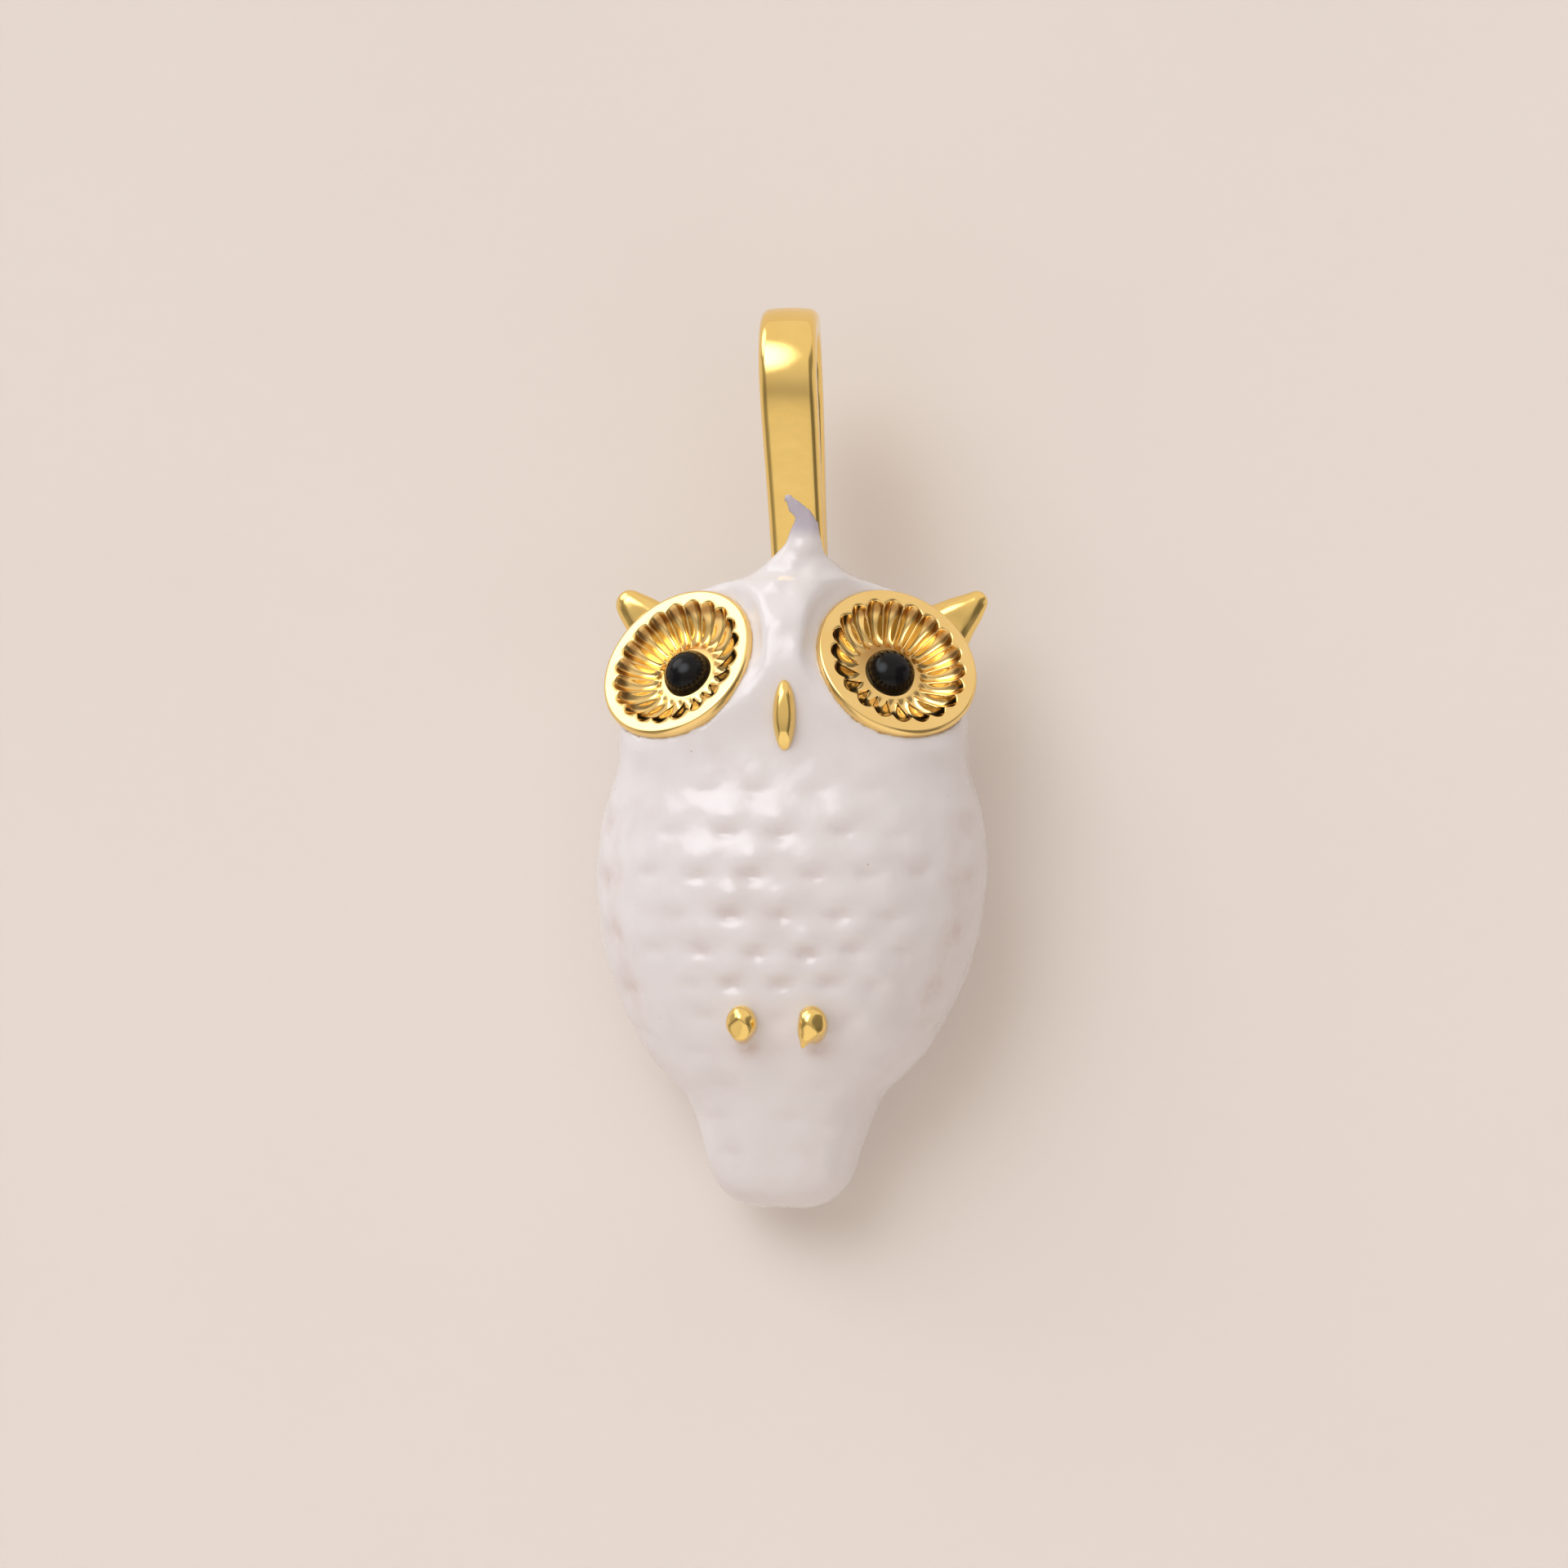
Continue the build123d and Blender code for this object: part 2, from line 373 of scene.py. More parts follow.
def crown(p):
    """The enamel that rises round the bail's foot and runs up the front of its strap."""
    x = p[:, 0] - bail_middle(p[:, 2])
    y = p[:, 1]
    z = p[:, 2]
    lift = np.maximum(z + 8.1, -0.15)
    wide = 1.24 + 0.5 * np.exp(-lift / 0.35)
    deep = 1.4 + 0.4 * np.exp(-lift / 0.45)
    ring = np.sqrt((x / wide) ** 2 + (y / deep) ** 2)
    collar = smooth_max((ring - 1) * 1.2, z - CROWN_TOP, 0.5)
    collar = smooth_max(collar, CROWN_FOOT - z, 0.3)
    half = spline(z, SPIRE[:, 0], SPIRE[:, 1])
    proud = spline(z, SPIRE[:, 0], SPIRE[:, 2])
    lean = 0.08 + 0.17 * step(-7.5, -6.8, z)
    off = np.sqrt(((x - lean) / half) ** 2 + (np.minimum(y - strap_front(z), 0) / proud) ** 2)
    spire = np.maximum((off - 1) * np.minimum(half, proud), y - strap_front(z) - 0.5)
    spire = smooth_max(spire, z - SPIRE_TOP, 0.25)
    spire = smooth_max(spire, SPIRE_FOOT - z, 0.3)
    return smooth_min(collar, spire, 0.3)


# Enamel that crept up the strap: place across, height, half width
TONGUE = (
    (0.30, -6.8, 0.44),
    (0.38, -6.38, 0.32),
    (0.29, -6.06, 0.24),
    (0.04, -5.77, 0.21),
    (-0.17, -5.5, 0.17),
)


def tongue(p):
    """The last thin run of enamel on the strap's front."""
    run = None
    for (x0, z0, r0), (x1, z1, r1) in zip(TONGUE, TONGUE[1:]):
        a = (x0 + bail_middle(z0), strap_front(z0), z0)
        b = (x1 + bail_middle(z1), strap_front(z1), z1)
        part = round_cone(p, a, b, r0, r1, flatten=(1, 0.4, 1))
        run = part if run is None else smooth_min(run, part, 0.08)
    return run


# ------------------------------------------------------------------ relief under the enamel
rng = np.random.default_rng(7)

# Tips of the breast's scales: height, places across, strength
SCALE_ROWS = (
    (-15.2, (-2.6, -0.85, 0.95, 2.75), 0.45),
    (-16.53, (-3.6, -1.78, 0.0, 2.04, 3.75), 0.85),
    (-17.9, (-4.4, -2.69, -1.05, 1.0, 2.9, 4.5), 1.0),
    (-19.26, (-3.5, -1.73, 0.05, 1.88, 3.6), 1.0),
    (-20.41, (-4.1, -2.5, -0.83, 0.9, 2.45, 4.1), 1.0),
    (-21.5, (-2.95, -1.57, 0.16, 1.63, 3.1), 0.85),
    (-22.6, (-2.35, -0.1, 2.3), 0.4),
    (-23.75, (-2.7, 0.1, 2.6), 0.25),
    (-24.9, (-2.6, -1.75, 1.4), 0.3),
    (-26.0, (-2.1, 0.4, 1.75), 0.25),
    (-27.2, (-1.5, 0.9), 0.2),
)


def uneven(rows):
    """Each scale's place across, height and strength, a little uneven."""
    tips = []
    for z, row, strength in rows:
        for x in row:
            own = strength * rng.uniform(0.75, 1.2)
            tips.append((x + rng.normal(0, 0.05), z + rng.normal(0, 0.05), own))
    return tips


# Tips of the back's scales: how far round from the front at ROUND_RADIUS, as for the breast
ROUND_RADIUS = 6.0
BACK_TOP_ROW = -14.3
BACK_ROW_STEP = 1.42
BACK_FIRST_ANGLE = 74
BACK_ANGLE_STEP = 16
BACK_ROWS = [
    (
        BACK_TOP_ROW - BACK_ROW_STEP * row,
        np.radians(np.arange(
            BACK_FIRST_ANGLE + BACK_ANGLE_STEP // 2 * (row % 2), 178, BACK_ANGLE_STEP
        )) * ROUND_RADIUS,
        0.9,
    )
    for row in range(5)
]
BREAST = [
    (x, z, strength * (1 - 0.6 * step(1.7, 3.6, abs(x))))
    for x, z, strength in uneven(SCALE_ROWS)
]
BACK = uneven(BACK_ROWS)
WING_TIP = -22.75
TAIL_ROOT = -24.6
CLAW_OUT = 1.15
CLAW_FRONT = -3.95
CLAW_HEIGHT = -22.82
# Soft lumps in the enamel of the forehead: place across, height, size
FOREHEAD_LUMPS = (
    (0.5, -7.15, 0.3),
    (0.1, -7.75, 0.32),
    (0.85, -7.95, 0.28),
    (-0.35, -8.35, 0.34),
    (0.4, -8.6, 0.38),
    (0.95, -9.3, 0.3),
    (-0.1, -9.6, 0.42),
    (0.75, -10.4, 0.35),
)


def turn(p):
    """Angle round the owl in degrees: 0 at the front, 90 at the sides, 180 behind."""
    z = p[:, 2]
    half = spline(z, PROFILE[:, 0], PROFILE[:, 1])
    front = spline(z, PROFILE[:, 0], PROFILE[:, 2])
    return np.degrees(np.arctan2(np.abs(p[:, 0] - middle(z)) / half, -p[:, 1] / front))


def scales(across, z, tips):
    """How far scales stand out: a swelling above each tip and a hollow under it."""
    lift = np.zeros(len(z))
    hollows = np.zeros(len(z))
    for place, height, strength in tips:
        near = (np.abs(across - place) < 1.6) & (np.abs(z - height) < 1.6)
        dx = across[near] - place
        dz = z[near] - height
        arc = dz - 0.24 * dx**2
        hollow = strength * bump((dx / 0.44) ** 2 + (arc / 0.24) ** 2)
        dome = strength * bump((dx / 0.52) ** 2 + ((dz - 0.62) / 0.4) ** 2)
        lift[near] += 0.11 * dome - 0.165 * hollow
        hollows[near] += hollow
    return lift, hollows


def relief(p):
    """How far the enamel stands out (mm), and a 0 to 1 mask of where it is thin over the metal and
    where shade is painted in its hollows.
    """
    x = p[:, 0] - middle(p[:, 2])
    z = p[:, 2]
    out = np.zeros(len(p))
    thin_enamel_and_shade = np.zeros(len(p))
    front = step(0.2, 1.2, -p[:, 1])
    angle = turn(p)
    behind = step(97, 112, angle)
    round_back = np.radians(angle) * ROUND_RADIUS
    for across, where, tips in ((x, front, BREAST), (round_back, behind, BACK)):
        lift, hollow = scales(across, z, tips)
        out += lift * where
        # painted shade in each scale's hollow, along with thin enamel there
        thin_enamel_and_shade += 0.42 * hollow * where

    # the folded wings: a raised sheet with a wavy edge, a groove along it and four spots, with
    # painted shade in the groove and the spots
    wing_tip = WING_TIP + np.where(angle < 75, 0.02, -0.012) * (angle - 75)
    wing_reach = step(-0.25, 0.15, z - wing_tip) * (1 - step(-15.6, -13.6, z))
    edge = angle + 1.6 * np.sin(1.7 * z) + 1.2 * np.sin(3.1 * z + 1)
    out += (0.09 + 0.06 * step(85, 110, angle)) * step(46, 58, edge) * wing_reach
    groove = bump(((edge - 58) / 4.5) ** 2) * wing_reach * step(-14.5, -18, z)
    out -= 0.05 * groove
    thin_enamel_and_shade += 0.25 * groove
    for row in range(4):
        dz = z + 16.3 + 1.8 * row
        spot = bump(((angle - 68 + 3 * row) / 7) ** 2 + (dz / 0.42) ** 2)
        out -= 0.08 * spot
        thin_enamel_and_shade += 0.55 * spot

    # behind: flight feathers, the gap between the wings, and the tail's feathers, with painted
    # shade between the quills
    quill = np.abs(np.sin(np.radians((angle + 8 * (z + 20) - 66) * 180 / 12.5)))
    flight = behind * step(-20.0, -20.8, z) * step(-0.1, 0.3, z - wing_tip)
    out -= 0.1 * flight * (1 - quill) ** 2
    thin_enamel_and_shade += 0.3 * flight * (1 - quill) ** 3
    gap = step(110, 150, angle) * step(-23.6, -22.6, z) * (1 - step(-19.6, -17.6, z))
    out -= 0.16 * bump((x / 0.3) ** 2) * gap
    tail = step(100, 125, angle) * (1 - step(TAIL_ROOT, TAIL_ROOT + 0.7, z))
    quill = np.abs(np.sin(x * math.pi / 0.95))
    out -= 0.12 * tail * (1 - quill) ** 2
    thin_enamel_and_shade += 0.3 * tail * (1 - quill) ** 3

    # all over: slight waves, and at each claw a swelling, with painted shade and a painted warm
    # reflection of the gold under it
    y = p[:, 1]
    out += 0.018 * np.sin(1.9 * x + 0.7 * z) * np.sin(2.3 * z - 0.9 * y + 1)
    out += 0.012 * np.sin(3.7 * x - 2.1 * y + 2) * np.sin(3.1 * z + 1.3 * x)
    for side in SIDES.values():
        dx = x - side * CLAW_OUT
        dz = z - CLAW_HEIGHT
        out += 0.22 * bump((dx / 0.75) ** 2 + ((dz + 0.15) / 0.9) ** 2) * front
        # painted shade and a painted warm reflection of the gold under the claw
        painted_claw_shade = bump(((dx - 0.16) / 0.36) ** 2 + ((dz + 0.72) / 0.3) ** 2)
        thin_enamel_and_shade += 1.2 * painted_claw_shade * front
    return out, np.clip(thin_enamel_and_shade, 0, 1)


# ------------------------------------------------------------------ room for the cups
HOLLOW_SINK = 0.2  # the face lies this far below the rim planes
HOLLOW_MARGIN_ABOVE = 0.12
HOLLOW_MARGIN_BELOW = 0.5
SOCKET_MOUTH = 0.3  # the sockets reach this far in front of the rim planes
SOCKET_CLEARANCE = 0.06
SLOT_CLEARANCE = 0.08
SLOT_FLOOR = -FOOT_DEPTH - 0.95


def lumps(p):
    """How far the forehead's enamel stands out in its own soft lumps."""
    out = np.zeros(len(p))
    for x, z, size in FOREHEAD_LUMPS:
        out += 0.09 * bump(((p[:, 0] - x) ** 2 + (p[:, 2] - z) ** 2) / size**2)
    return out * step(0.3, 0.9, -p[:, 1])


def face_hollow(p, cup):
    """The space in front of one cup and a little round it, open outwards."""
    centre, across, up, normal = cup
    q = p - centre
    out = q @ normal + HOLLOW_SINK
    radius = np.hypot(q @ across, q @ up)
    below = step(9.4, 11.6, -p[:, 2])
    margin = HOLLOW_MARGIN_ABOVE + (HOLLOW_MARGIN_BELOW - HOLLOW_MARGIN_ABOVE) * below
    cone = (radius - CUP_RADIUS - margin - out) / math.sqrt(2)
    return smooth_max(-out, cone, 0.3)


def cup_socket(p, cup):
    """The space that one cup fills in the head, drawn in by the clearance."""
    centre, across, up, normal = cup
    q = p - centre
    out = q @ normal
    radius = np.hypot(q @ across, q @ up)
    slope = (CUP_RADIUS - CUP_BACK_RADIUS) / (CUP_DEPTH - CUP_EDGE)
    cone = (radius - CUP_RADIUS - slope * (out + CUP_EDGE)) / math.hypot(1, slope)
    side = np.maximum(radius - CUP_RADIUS, cone)
    ends = np.maximum(out - SOCKET_MOUTH, -out - CUP_DEPTH)
    return np.maximum(side, ends) + SOCKET_CLEARANCE


def bail_slot(p):
    """The space that the bail's foot fills in the crown, drawn in by the clearance."""
    x = p[:, 0] - bail_middle(p[:, 2])
    z = p[:, 2]
    across = np.abs(x) - STRAP_WIDTH / 2
    deep = np.abs(p[:, 1]) + strap_front(z)
    return np.maximum(np.maximum(across, deep), SLOT_FLOOR - z) + SLOT_CLEARANCE


def less_seats(d, p):
    """The field without the cups' sockets and the bail's slot."""
    for cup in CUPS.values():
        d = np.maximum(d, -cup_socket(p, cup))
    return np.maximum(d, -bail_slot(p))


def owl_form(p):
    """The outside of the enamel."""
    d = trunk(p)
    near = np.abs(d) < 1.0
    d[near] -= relief(p[near])[0]
    d = smooth_min(d, crown(p), 0.45) - lumps(p)
    for cup in CUPS.values():
        d = smooth_max(d, -face_hollow(p, cup), 0.28)
    return smooth_min(d, tongue(p), 0.15)


def core_form(p):
    """The plain owl and its face, drawn in by the coat's thickness."""
    d = trunk(p, CORE_INSET)
    for cup in CUPS.values():
        d = smooth_max(d, CORE_INSET * 0.8 - face_hollow(p, cup), 0.4)
    return d


def enamel_field(p):
    """The coat: the outside less the plain core, the cups' sockets and the bail's slot."""
    return less_seats(np.maximum(owl_form(p), -core_form(p)), p)


def core_field(p):
    """The casting under the coat."""
    return less_seats(core_form(p), p)


# ------------------------------------------------------------------ bare metal that shows
EARS = {  # place across and height of the round tip, its radius, and the same for the root
    "left": ((-5.61, -8.88), 0.52, (-4.09, -10.35), 1.24),
    "right": ((6.1, -8.86), 0.41, (4.48, -10.22), 1.22),
}
EAR_FRONT = 0.85  # Y of the worn front and of the back
EAR_BACK = 1.75
EAR_BEVEL = 0.3  # width of the sloped band round the worn front, and round the back
EAR_BACK_BEVEL = 0.5
EAR_SLOPE = (0.82, 0.57)  # how far each band faces outwards, and to the front or the back
EAR_BACK_SLOPE = (0.64, 0.77)


def ear_field(name):
    """A small leaf that points up and out, with sloped bands round its worn front and its back."""
    (tip_x, tip_z), tip_radius, (root_x, root_z), root_radius = EARS[name]
    side = SIDES[name]
    tip = np.array([tip_x, 0, tip_z])
    root = np.array([root_x, 0, root_z])
    front = (tip + root) / 2 + (0, EAR_FRONT, 0)
    level = np.array([1, 0, 1])

    def field(p):
        outline = round_cone(p * level, root, tip, root_radius, tip_radius)
        outwards, ahead = EAR_SLOPE
        band = outwards * (outline + EAR_BEVEL) - ahead * (p[:, 1] - EAR_FRONT)
        outwards, behind = EAR_BACK_SLOPE
        back = outwards * (outline + EAR_BACK_BEVEL) + behind * (p[:, 1] - EAR_BACK)
        form = smooth_max(band, back, 0.14)
        form = smooth_max(form, plane(p, front, (0.12 * side, -1, 0.04)), 0.2)
        form = smooth_max(form, p[:, 1] - EAR_BACK, 0.2)
        ripple = np.sin(3 * p[:, 0] * side + 2.4 * p[:, 2]) * np.sin(2.7 * p[:, 2] - 2)
        return form + 0.02 * ripple

    return field, front + (0, 0.3, 0), (2.2, 1.2, 2.1)


BEAK = np.array([middle(-12.7), -3.42, -12.7])
BEAK_HALF = 1.18
BEAK_RADIUS = 0.385


def beak_field(p):
    """A slim spindle with a flatter front and one facet under its tip."""
    q = p - BEAK
    t = np.clip(q[:, 2] / BEAK_HALF, -1, 1)
    radius = BEAK_RADIUS * np.sqrt(np.maximum(1 - t**2, 1e-4)) ** 1.15
    body = np.hypot(q[:, 0], q[:, 1] / 1.5) - radius
    ends = np.abs(q[:, 2]) - BEAK_HALF + 0.02
    form = smooth_max(body, ends, 0.08)
    form = smooth_max(form, plane(p, (0, -3.93, -12.5), (0.1, -1, 0.02)), 0.09)
    return smooth_max(form, plane(p, (0, -3.86, -13.36), (0.1, -0.75, -0.66)), 0.03)


CLAW_CUTS = {  # facets: a point on each, from the claw's centre, and the way it faces
    "left": (
        ((-0.265, -0.37, 0.245), (-0.62, -0.69, 0.36)),
        ((-0.08, -0.42, -0.04), (-0.25, -0.92, -0.3)),
        ((0.16, -0.42, -0.2), (0.3, -0.85, -0.45)),
        ((-0.3, -0.1, -0.33), (-0.8, -0.15, -0.58)),
        ((0.24, -0.1, -0.42), (0.75, -0.1, -0.65)),
    ),
    "right": (
        ((-0.42, -0.1, 0.1), (-1.0, -0.2, 0.12)),
        ((-0.16, -0.4, -0.3), (-0.08, -0.93, -0.35)),
        ((0.3, -0.2, -0.3), (0.5, -0.35, -0.8)),
        ((0.22, -0.46, -0.02), (0.42, -0.9, 0.08)),
    ),
}


def claw_field(name):
    """A rounded nub with worn facets; the right one ends in a small hook."""
    side = SIDES[name]
    centre = np.array([side * CLAW_OUT + middle(CLAW_HEIGHT), CLAW_FRONT, CLAW_HEIGHT])

    def field(p):
        q = p - centre
        form = round_cone(q, (0, 0.7, -0.05), (0.02, -0.05, 0.08), 0.5, 0.5, flatten=(1, 1, 1.18))
        if name == "right":
            hook = round_cone(q, (-0.16, -0.1, -0.3), (-0.27, 0.0, -0.66), 0.24, 0.07)
            form = smooth_min(form, hook, 0.12)
        for through, normal in CLAW_CUTS[name]:
            form = smooth_max(form, plane(q, through, normal), 0.05)
        return form

    return field, centre + (0, 0.1, 0), (0.8, 1.1, 0.95)


def patch(field, centre, reach, cell):
    """The surface of a small form round its centre."""
    centre = np.asarray(centre, float)
    reach = np.asarray(reach, float)
    return surface(field, centre - reach, centre + reach, cell)


def add_layer(obj, name, values):
    """A number for each vertex, for the material to read."""
    layer = obj.data.attributes.new(name, "FLOAT", "POINT")
    layer.data.foreach_set("value", np.asarray(values, dtype=np.float32))


CORE_CELL = 0.2  # grid cells that the surfaces are found on
EAR_CELL = 0.05
NUB_CELL = 0.035
COAT_CELL = 0.124
COAT_FRONT = -4.6  # where the coat's grid ends, in front and above
COAT_TOP = -5.1


def make_casting():
    """The casting: a core that the coat hides, and its ears, beak and claws."""
    islands = [surface(core_field, coat_low - 0.3, coat_high + 0.3, CORE_CELL)]
    for name in SIDES:
        islands.append(patch(*ear_field(name), EAR_CELL))
    islands.append(patch(beak_field, BEAK + (0, 0.02, 0), (0.6, 0.9, 1.4), NUB_CELL))
    for name in SIDES:
        islands.append(patch(*claw_field(name), NUB_CELL))
    return make_object("owl_casting", *joined(islands))


def make_enamel():
    """The coat, with its thin enamel and painted shade, and where it crept up the strap, as layers.
    """
    low = coat_low - 0.4
    low[1] = COAT_FRONT
    high = np.array([coat_high[0] + 0.4, coat_high[1] + 0.4, COAT_TOP])
    vertices, quads = surface(enamel_field, low, high, COAT_CELL)
    obj = make_object("owl_enamel", vertices, quads.tolist())
    outside = step(-0.5, -0.1, -np.abs(owl_form(vertices)))
    add_layer(obj, "thin_enamel_and_shade", relief(vertices)[1] * outside)
    add_layer(obj, "crept", step(-6.95, -6.35, vertices[:, 2]))
    return obj


# ------------------------------------------------------------------ bail
BAIL_RINGS = 150
EASE = 0.42  # along the strap, how far each turn's start and end are softened
STRAP_CORNER = 0.34
STRAP_CROWN = 0.035
STRAP_SKEW = 0.075  # how far it shifts to the left for each mm backwards
STRAP_NARROWING = 0.05


def bail_path():
    """The strap's middle line, all round, as (y, z, outward angle)."""
    turned = math.pi / 2 + LEG_ANGLE

    def arc(radius, z, start, end, count):
        angle = np.linspace(start, end, count)
        return np.column_stack([radius * np.sin(angle), z + radius * np.cos(angle)])

    bend = arc(BEND_RADIUS, BEND_HEIGHT, -turned, turned, 64)
    foot = arc(FOOT_RADIUS, -FOOT_DEPTH, turned, 2 * math.pi - turned, 18)
    back_leg = np.linspace(bend[-1], foot[0], 14)[1:-1]
    front_leg = np.linspace(foot[-1], bend[0], 14)[1:-1]
    return ease(np.concatenate([bend, back_leg, foot, front_leg]))


def ease(path):
    """The closed path with its curvature eased, and each point's outward angle."""
    closed = np.vstack([path, path[:1]])
    along = np.concatenate([[0], np.cumsum(np.linalg.norm(np.diff(closed, axis=0), axis=1))])
    at = np.linspace(0, along[-1], BAIL_RINGS, endpoint=False)
    even = np.stack([np.interp(at, along, closed[:, k]) for k in (0, 1)], axis=1)
    gap = np.minimum(at, along[-1] - at)
    weight = np.exp(-((gap / EASE) ** 2) / 2)
    spectrum = np.fft.fft(weight / weight.sum())
    eased = np.fft.ifft(np.fft.fft(even, axis=0) * spectrum[:, None], axis=0).real
    heading = np.roll(eased, -1, axis=0) - np.roll(eased, 1, axis=0)
    angle = np.arctan2(-heading[:, 1], heading[:, 0])
    eased[:, 1] += even[:, 1].max() - eased[:, 1].max()
    return np.column_stack([eased, angle])


def strap_section():
    """The strap's outline as (across, outward): rounded corners, a little crowned on both faces."""
    half_width = STRAP_WIDTH / 2 - STRAP_CORNER
    half_thickness = STRAP_THICKNESS / 2
    outline = []
    for quarter in range(4):
        sx = 1 if quarter in (0, 3) else -1
        sn = 1 if quarter in (0, 1) else -1
        for a in np.linspace(0, math.pi / 2, 7) + quarter * math.pi / 2:
            outline.append((
                sx * half_width + STRAP_CORNER * math.cos(a),
                sn * (half_thickness - STRAP_CORNER) + STRAP_CORNER * math.sin(a),
            ))
        if quarter in (0, 2):
            for s in np.linspace(1, -1, 8)[1:-1]:
                crowned = half_thickness + STRAP_CROWN * (1 - s**2)
                outline.append((sx * half_width * s, sn * crowned))
    return np.array(outline)


def make_bail():
    """One strap swept round the closed path, leaning and a little narrower at its foot."""
    section = strap_section()
    rings = []
    for y, z, t in bail_path():
        narrow = 1 - STRAP_NARROWING * step(2.0, 6.5, -z)
        level = z + section[:, 1] * math.cos(t)
        rings.append(np.stack([
            section[:, 0] * narrow + bail_middle(level) - STRAP_SKEW * max(y, 0),
            y + section[:, 1] * math.sin(t),
            level,
        ], axis=1))
    rings = np.array(rings)
    return make_object("bail_strap", rings.reshape(-1, 3), ring_bands(rings, wrap=True))


# ------------------------------------------------------------------ eyes
# Rings of a dish from its middle: in the bowl as shares of its radius, then radius and height
BOWL_RINGS = np.concatenate([np.linspace(0.02, 0.86, 34), np.linspace(0.875, 1, 14)])
RIM_RINGS = ((2.48, 0.02), (2.56, 0.022), (2.64, 0.022), (2.7, 0.014), (2.735, 0.0))
OUTER_RINGS = (
    (CUP_RADIUS - 0.04, -0.03),
    (CUP_RADIUS - 0.005, -0.09),
    (CUP_RADIUS, -0.2),
    (CUP_RADIUS, -0.42),
    (CUP_RADIUS - 0.03, -CUP_EDGE),
    (CUP_RADIUS - 0.15, -0.62),
    (CUP_BACK_RADIUS, -CUP_DEPTH),
    (0.02, -CUP_DEPTH),
)
FLUTE_LEAD = {"left": 0.1, "right": 0.0}  # how far round the first flute stands


def turned_rings(cup, around, rings):
    """Closed rings round a cup's axis, from radii and heights above the rim plane."""
    centre, across, up, normal = cup
    shell = []
    for radius, height in rings:
        radius = np.broadcast_to(radius, around.shape)
        height = np.broadcast_to(height, around.shape)
        shell.append(
            centre
            + np.outer(radius * np.cos(around), across)
            + np.outer(radius * np.sin(around), up)
            + np.outer(height, normal)
        )
    return np.array(shell)


def make_cup(name):
    """A fluted dish: bowl, scalloped rim, outer wall and back."""
    around = np.linspace(0, 2 * math.pi, FLUTES * 18, endpoint=False)
    wave = (np.sin(FLUTES / 2 * (around + FLUTE_LEAD[name])) ** 2 + 0.01) ** 0.35
    valley = (wave - wave.mean()) / (wave.max() - wave.min())
    scallop = SCALLOP * valley
    rings = []
    for s in BOWL_RINGS:
        radius = s * (BOWL_RADIUS + scallop * step(0.4, 0.85, s))
        depth = (BOWL_DEPTH - BOWL_WALL) * (1 - s**3) + BOWL_WALL * (1 - s**16)
        grip = BEAD_GRIP * bump(((s * BOWL_RADIUS - PUPIL_RADIUS) / BEAD_GRIP_WIDTH) ** 2)
        spoon = FLUTE_DEPTH * valley * math.sin(math.pi * min(1, (1 - s) / 0.54))
        rings.append((radius, grip - depth - spoon))
    rings.append((BOWL_RADIUS + scallop + 0.03, 0.012))
    rings += RIM_RINGS + OUTER_RINGS
    vertices, faces = capped_rings(turned_rings(CUPS[name], around, rings))
    obj = make_object(f"eye_dish_{name}", vertices, faces)

    # painted shade between the flutes and at their outer ends, and a painted darker reflection
    # above the bead
    painted_crease_shade = np.zeros(len(vertices))
    between = step(0.75, 0.97, 1 - wave)
    above = 0.5 + 0.5 * np.sin(around)
    for r, s in enumerate(BOWL_RINGS):
        end = (1 - between) * step(0.86, 0.93, s) * (1 - step(0.96, 1.0, s))
        ring = between * step(0.42, 0.7, s) + end + above * (1 - step(0.42, 0.68, s))
        painted_crease_shade[r * len(around):(r + 1) * len(around)] = np.minimum(1, ring)
    add_layer(obj, "painted_crease_shade", painted_crease_shade)
    return obj


def make_pupil(name):
    """A domed bead, its lower edge drawn in where it sits in the dish."""
    around = np.linspace(0, 2 * math.pi, 72, endpoint=False)
    rings = []
    for t in np.linspace(0.015, 1, 30):
        a = t * math.radians(104)
        wobble = 1 + 0.012 * np.sin(3 * around + 1.0) * math.sin(a)
        height = PUPIL_RADIUS * 0.94 * math.cos(a) - PUPIL_SINK
        rings.append((PUPIL_RADIUS * math.sin(a) * wobble, height))
    vertices, faces = capped_rings(turned_rings(CUPS[name], around, rings))
    return make_object(f"pupil_bead_{name}", vertices, faces)


